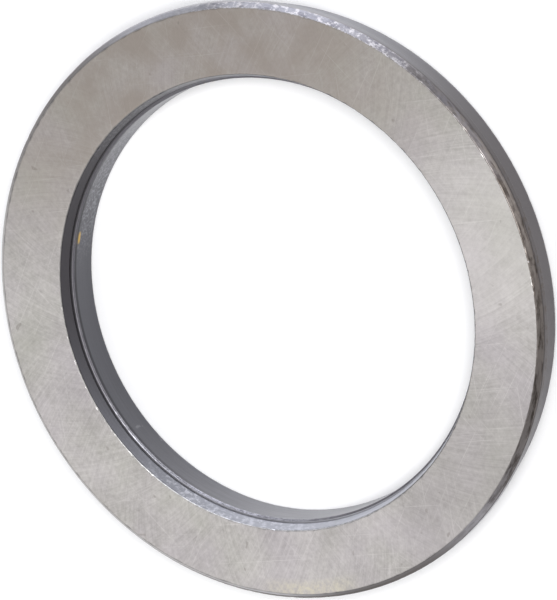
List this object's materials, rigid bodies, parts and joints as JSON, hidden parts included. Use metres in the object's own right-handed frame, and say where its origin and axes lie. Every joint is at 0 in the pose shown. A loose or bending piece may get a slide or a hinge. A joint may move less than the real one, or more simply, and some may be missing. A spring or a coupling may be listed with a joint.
{
  "type": "thrust ball bearing",
  "caption": "Low-section single-direction thrust ball bearing: a flat housing washer over a channelled shaft washer that encloses a brass cage and its balls.",
  "frame": {"origin": "centre of the bottom face, which is the shaft washer's flat back face", "axes": "+Z along the bearing's axis, from the shaft washer to the housing washer's flat back face"},
  "size_m": [0.135, 0.135, 0.012],
  "materials": {
    "shaft_washer_steel": "turned and ground bearing steel, satin",
    "housing_washer_steel": "ground bearing steel, satin, with fine handling scratches",
    "cage_brass": "machined brass, satin",
    "ball_steel": "lapped and polished bearing steel"
  },
  "bodies": {
    "shaft_washer": {"shaft_washer": "shaft_washer_steel"},
    "housing_washer": {"housing_washer": "housing_washer_steel"},
    "ball_cage": {"ball_cage": "cage_brass"},
    "ball_01": {"ball_01": "ball_steel"},
    "ball_02": {"ball_02": "ball_steel"},
    "ball_03": {"ball_03": "ball_steel"},
    "ball_04": {"ball_04": "ball_steel"},
    "ball_05": {"ball_05": "ball_steel"},
    "ball_06": {"ball_06": "ball_steel"},
    "ball_07": {"ball_07": "ball_steel"},
    "ball_08": {"ball_08": "ball_steel"},
    "ball_09": {"ball_09": "ball_steel"},
    "ball_10": {"ball_10": "ball_steel"},
    "ball_11": {"ball_11": "ball_steel"},
    "ball_12": {"ball_12": "ball_steel"},
    "ball_13": {"ball_13": "ball_steel"},
    "ball_14": {"ball_14": "ball_steel"},
    "ball_15": {"ball_15": "ball_steel"},
    "ball_16": {"ball_16": "ball_steel"},
    "ball_17": {"ball_17": "ball_steel"},
    "ball_18": {"ball_18": "ball_steel"},
    "ball_19": {"ball_19": "ball_steel"},
    "ball_20": {"ball_20": "ball_steel"},
    "ball_21": {"ball_21": "ball_steel"},
    "ball_22": {"ball_22": "ball_steel"},
    "ball_23": {"ball_23": "ball_steel"},
    "ball_24": {"ball_24": "ball_steel"},
    "ball_25": {"ball_25": "ball_steel"},
    "ball_26": {"ball_26": "ball_steel"},
    "ball_27": {"ball_27": "ball_steel"},
    "ball_28": {"ball_28": "ball_steel"},
    "ball_29": {"ball_29": "ball_steel"},
    "ball_30": {"ball_30": "ball_steel"},
    "ball_31": {"ball_31": "ball_steel"},
    "ball_32": {"ball_32": "ball_steel"},
    "ball_33": {"ball_33": "ball_steel"},
    "ball_34": {"ball_34": "ball_steel"},
    "ball_35": {"ball_35": "ball_steel"},
    "ball_36": {"ball_36": "ball_steel"}
  },
  "joints": [
    {"name": "housing_washer_spin", "type": "hinge", "parent": "shaft_washer", "child": "housing_washer", "pos_m": [0, 0, 0.012], "axis": [0, 0, 1], "continuous": true},
    {"name": "ball_cage_spin", "type": "hinge", "parent": "shaft_washer", "child": "ball_cage", "pos_m": [0, 0, 0.00613], "axis": [0, 0, 1], "continuous": true},
    {"name": "ball_01_roll", "type": "hinge", "parent": "ball_cage", "child": "ball_01", "pos_m": [0.05775, 0, 0.00613], "axis": [1, 0, 0], "continuous": true},
    {"name": "ball_02_roll", "type": "hinge", "parent": "ball_cage", "child": "ball_02", "pos_m": [0.05687, 0.01003, 0.00613], "axis": [0.9848, 0.1736, 0], "continuous": true},
    {"name": "ball_03_roll", "type": "hinge", "parent": "ball_cage", "child": "ball_03", "pos_m": [0.05427, 0.01975, 0.00613], "axis": [0.9397, 0.342, 0], "continuous": true},
    {"name": "ball_04_roll", "type": "hinge", "parent": "ball_cage", "child": "ball_04", "pos_m": [0.05001, 0.02888, 0.00613], "axis": [0.866, 0.5, 0], "continuous": true},
    {"name": "ball_05_roll", "type": "hinge", "parent": "ball_cage", "child": "ball_05", "pos_m": [0.04424, 0.03712, 0.00613], "axis": [0.766, 0.6428, 0], "continuous": true},
    {"name": "ball_06_roll", "type": "hinge", "parent": "ball_cage", "child": "ball_06", "pos_m": [0.03712, 0.04424, 0.00613], "axis": [0.6428, 0.766, 0], "continuous": true},
    {"name": "ball_07_roll", "type": "hinge", "parent": "ball_cage", "child": "ball_07", "pos_m": [0.02888, 0.05001, 0.00613], "axis": [0.5, 0.866, 0], "continuous": true},
    {"name": "ball_08_roll", "type": "hinge", "parent": "ball_cage", "child": "ball_08", "pos_m": [0.01975, 0.05427, 0.00613], "axis": [0.342, 0.9397, 0], "continuous": true},
    {"name": "ball_09_roll", "type": "hinge", "parent": "ball_cage", "child": "ball_09", "pos_m": [0.01003, 0.05687, 0.00613], "axis": [0.1736, 0.9848, 0], "continuous": true},
    {"name": "ball_10_roll", "type": "hinge", "parent": "ball_cage", "child": "ball_10", "pos_m": [0, 0.05775, 0.00613], "axis": [0, 1, 0], "continuous": true},
    {"name": "ball_11_roll", "type": "hinge", "parent": "ball_cage", "child": "ball_11", "pos_m": [-0.01003, 0.05687, 0.00613], "axis": [-0.1736, 0.9848, 0], "continuous": true},
    {"name": "ball_12_roll", "type": "hinge", "parent": "ball_cage", "child": "ball_12", "pos_m": [-0.01975, 0.05427, 0.00613], "axis": [-0.342, 0.9397, 0], "continuous": true},
    {"name": "ball_13_roll", "type": "hinge", "parent": "ball_cage", "child": "ball_13", "pos_m": [-0.02888, 0.05001, 0.00613], "axis": [-0.5, 0.866, 0], "continuous": true},
    {"name": "ball_14_roll", "type": "hinge", "parent": "ball_cage", "child": "ball_14", "pos_m": [-0.03712, 0.04424, 0.00613], "axis": [-0.6428, 0.766, 0], "continuous": true},
    {"name": "ball_15_roll", "type": "hinge", "parent": "ball_cage", "child": "ball_15", "pos_m": [-0.04424, 0.03712, 0.00613], "axis": [-0.766, 0.6428, 0], "continuous": true},
    {"name": "ball_16_roll", "type": "hinge", "parent": "ball_cage", "child": "ball_16", "pos_m": [-0.05001, 0.02888, 0.00613], "axis": [-0.866, 0.5, 0], "continuous": true},
    {"name": "ball_17_roll", "type": "hinge", "parent": "ball_cage", "child": "ball_17", "pos_m": [-0.05427, 0.01975, 0.00613], "axis": [-0.9397, 0.342, 0], "continuous": true},
    {"name": "ball_18_roll", "type": "hinge", "parent": "ball_cage", "child": "ball_18", "pos_m": [-0.05687, 0.01003, 0.00613], "axis": [-0.9848, 0.1736, 0], "continuous": true},
    {"name": "ball_19_roll", "type": "hinge", "parent": "ball_cage", "child": "ball_19", "pos_m": [-0.05775, 0, 0.00613], "axis": [-1, 0, 0], "continuous": true},
    {"name": "ball_20_roll", "type": "hinge", "parent": "ball_cage", "child": "ball_20", "pos_m": [-0.05687, -0.01003, 0.00613], "axis": [-0.9848, -0.1736, 0], "continuous": true},
    {"name": "ball_21_roll", "type": "hinge", "parent": "ball_cage", "child": "ball_21", "pos_m": [-0.05427, -0.01975, 0.00613], "axis": [-0.9397, -0.342, 0], "continuous": true},
    {"name": "ball_22_roll", "type": "hinge", "parent": "ball_cage", "child": "ball_22", "pos_m": [-0.05001, -0.02888, 0.00613], "axis": [-0.866, -0.5, 0], "continuous": true},
    {"name": "ball_23_roll", "type": "hinge", "parent": "ball_cage", "child": "ball_23", "pos_m": [-0.04424, -0.03712, 0.00613], "axis": [-0.766, -0.6428, 0], "continuous": true},
    {"name": "ball_24_roll", "type": "hinge", "parent": "ball_cage", "child": "ball_24", "pos_m": [-0.03712, -0.04424, 0.00613], "axis": [-0.6428, -0.766, 0], "continuous": true},
    {"name": "ball_25_roll", "type": "hinge", "parent": "ball_cage", "child": "ball_25", "pos_m": [-0.02888, -0.05001, 0.00613], "axis": [-0.5, -0.866, 0], "continuous": true},
    {"name": "ball_26_roll", "type": "hinge", "parent": "ball_cage", "child": "ball_26", "pos_m": [-0.01975, -0.05427, 0.00613], "axis": [-0.342, -0.9397, 0], "continuous": true},
    {"name": "ball_27_roll", "type": "hinge", "parent": "ball_cage", "child": "ball_27", "pos_m": [-0.01003, -0.05687, 0.00613], "axis": [-0.1736, -0.9848, 0], "continuous": true},
    {"name": "ball_28_roll", "type": "hinge", "parent": "ball_cage", "child": "ball_28", "pos_m": [0, -0.05775, 0.00613], "axis": [0, -1, 0], "continuous": true},
    {"name": "ball_29_roll", "type": "hinge", "parent": "ball_cage", "child": "ball_29", "pos_m": [0.01003, -0.05687, 0.00613], "axis": [0.1736, -0.9848, 0], "continuous": true},
    {"name": "ball_30_roll", "type": "hinge", "parent": "ball_cage", "child": "ball_30", "pos_m": [0.01975, -0.05427, 0.00613], "axis": [0.342, -0.9397, 0], "continuous": true},
    {"name": "ball_31_roll", "type": "hinge", "parent": "ball_cage", "child": "ball_31", "pos_m": [0.02888, -0.05001, 0.00613], "axis": [0.5, -0.866, 0], "continuous": true},
    {"name": "ball_32_roll", "type": "hinge", "parent": "ball_cage", "child": "ball_32", "pos_m": [0.03712, -0.04424, 0.00613], "axis": [0.6428, -0.766, 0], "continuous": true},
    {"name": "ball_33_roll", "type": "hinge", "parent": "ball_cage", "child": "ball_33", "pos_m": [0.04424, -0.03712, 0.00613], "axis": [0.766, -0.6428, 0], "continuous": true},
    {"name": "ball_34_roll", "type": "hinge", "parent": "ball_cage", "child": "ball_34", "pos_m": [0.05001, -0.02888, 0.00613], "axis": [0.866, -0.5, 0], "continuous": true},
    {"name": "ball_35_roll", "type": "hinge", "parent": "ball_cage", "child": "ball_35", "pos_m": [0.05427, -0.01975, 0.00613], "axis": [0.9397, -0.342, 0], "continuous": true},
    {"name": "ball_36_roll", "type": "hinge", "parent": "ball_cage", "child": "ball_36", "pos_m": [0.05687, -0.01003, 0.00613], "axis": [0.9848, -0.1736, 0], "continuous": true}
  ],
  "couplings": [
    {"joint": "ball_cage_spin", "follows": "housing_washer_spin", "ratio": 0.5},
    {"joint": "ball_01_roll", "follows": "housing_washer_spin", "ratio": -8.0837},
    {"joint": "ball_02_roll", "follows": "housing_washer_spin", "ratio": -8.0837},
    {"joint": "ball_03_roll", "follows": "housing_washer_spin", "ratio": -8.0837},
    {"joint": "ball_04_roll", "follows": "housing_washer_spin", "ratio": -8.0837},
    {"joint": "ball_05_roll", "follows": "housing_washer_spin", "ratio": -8.0837},
    {"joint": "ball_06_roll", "follows": "housing_washer_spin", "ratio": -8.0837},
    {"joint": "ball_07_roll", "follows": "housing_washer_spin", "ratio": -8.0837},
    {"joint": "ball_08_roll", "follows": "housing_washer_spin", "ratio": -8.0837},
    {"joint": "ball_09_roll", "follows": "housing_washer_spin", "ratio": -8.0837},
    {"joint": "ball_10_roll", "follows": "housing_washer_spin", "ratio": -8.0837},
    {"joint": "ball_11_roll", "follows": "housing_washer_spin", "ratio": -8.0837},
    {"joint": "ball_12_roll", "follows": "housing_washer_spin", "ratio": -8.0837},
    {"joint": "ball_13_roll", "follows": "housing_washer_spin", "ratio": -8.0837},
    {"joint": "ball_14_roll", "follows": "housing_washer_spin", "ratio": -8.0837},
    {"joint": "ball_15_roll", "follows": "housing_washer_spin", "ratio": -8.0837},
    {"joint": "ball_16_roll", "follows": "housing_washer_spin", "ratio": -8.0837},
    {"joint": "ball_17_roll", "follows": "housing_washer_spin", "ratio": -8.0837},
    {"joint": "ball_18_roll", "follows": "housing_washer_spin", "ratio": -8.0837},
    {"joint": "ball_19_roll", "follows": "housing_washer_spin", "ratio": -8.0837},
    {"joint": "ball_20_roll", "follows": "housing_washer_spin", "ratio": -8.0837},
    {"joint": "ball_21_roll", "follows": "housing_washer_spin", "ratio": -8.0837},
    {"joint": "ball_22_roll", "follows": "housing_washer_spin", "ratio": -8.0837},
    {"joint": "ball_23_roll", "follows": "housing_washer_spin", "ratio": -8.0837},
    {"joint": "ball_24_roll", "follows": "housing_washer_spin", "ratio": -8.0837},
    {"joint": "ball_25_roll", "follows": "housing_washer_spin", "ratio": -8.0837},
    {"joint": "ball_26_roll", "follows": "housing_washer_spin", "ratio": -8.0837},
    {"joint": "ball_27_roll", "follows": "housing_washer_spin", "ratio": -8.0837},
    {"joint": "ball_28_roll", "follows": "housing_washer_spin", "ratio": -8.0837},
    {"joint": "ball_29_roll", "follows": "housing_washer_spin", "ratio": -8.0837},
    {"joint": "ball_30_roll", "follows": "housing_washer_spin", "ratio": -8.0837},
    {"joint": "ball_31_roll", "follows": "housing_washer_spin", "ratio": -8.0837},
    {"joint": "ball_32_roll", "follows": "housing_washer_spin", "ratio": -8.0837},
    {"joint": "ball_33_roll", "follows": "housing_washer_spin", "ratio": -8.0837},
    {"joint": "ball_34_roll", "follows": "housing_washer_spin", "ratio": -8.0837},
    {"joint": "ball_35_roll", "follows": "housing_washer_spin", "ratio": -8.0837},
    {"joint": "ball_36_roll", "follows": "housing_washer_spin", "ratio": -8.0837}
  ]
}
